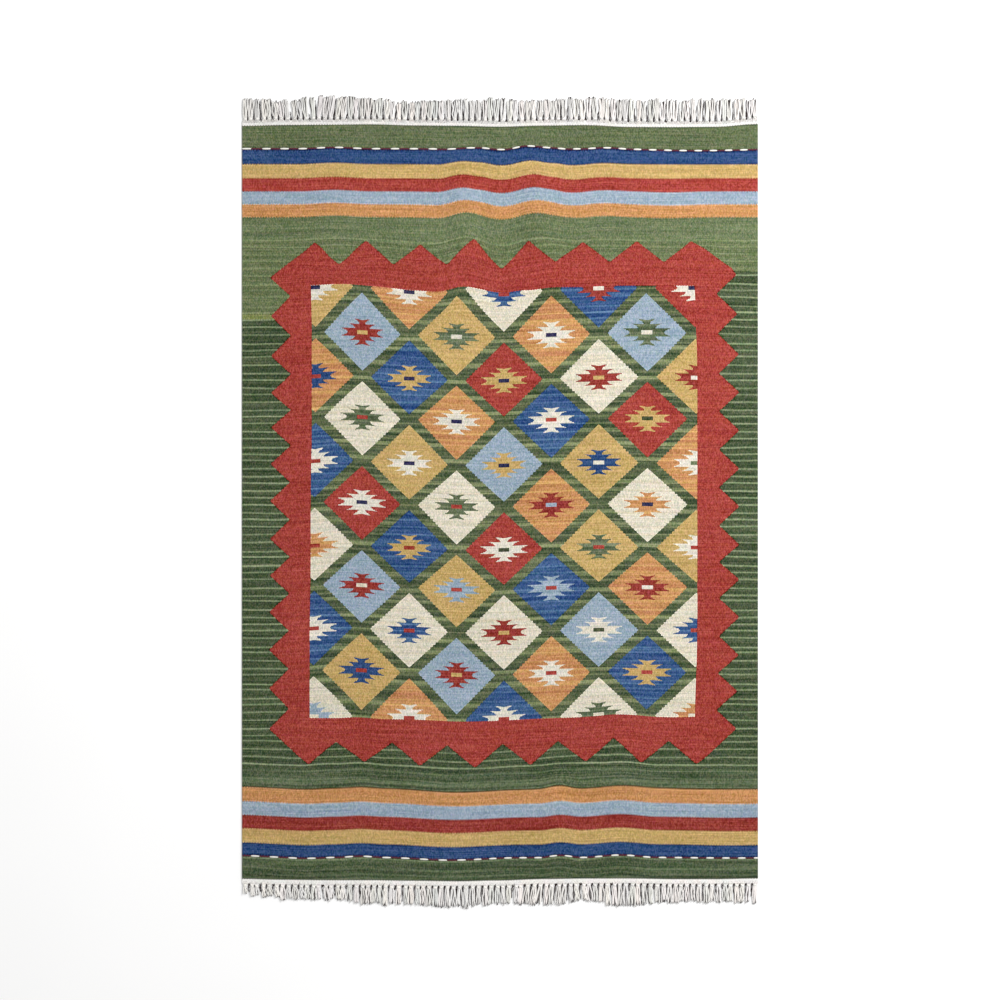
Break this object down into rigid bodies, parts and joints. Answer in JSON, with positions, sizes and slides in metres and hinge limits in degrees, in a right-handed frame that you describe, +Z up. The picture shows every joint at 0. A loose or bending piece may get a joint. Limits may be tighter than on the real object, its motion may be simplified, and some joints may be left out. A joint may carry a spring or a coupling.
{
  "type": "kilim rug",
  "caption": "Flat-woven wool kilim rug with a diamond lattice field, a toothed border, striped end bands and a knotted cotton fringe at both ends.",
  "frame": {"origin": "on the floor, under the middle of the rug's bounding box", "axes": "+X across the rug towards its right selvedge as seen from above with the head end up, +Y along the rug towards its head end, +Z up out of the floor"},
  "size_m": [1.2, 1.893, 0.0093],
  "materials": {
    "wool_weave": "matte flat-woven wool, weft-faced, in green, red, blue, light blue, ochre, orange and cream",
    "cotton_fringe": "matte undyed cotton yarn, bare web and knotted fringe"
  },
  "bodies": {
    "root": {"kilim_cloth": "wool_weave", "fringe_head": "cotton_fringe", "fringe_foot": "cotton_fringe"}
  },
  "joints": []
}
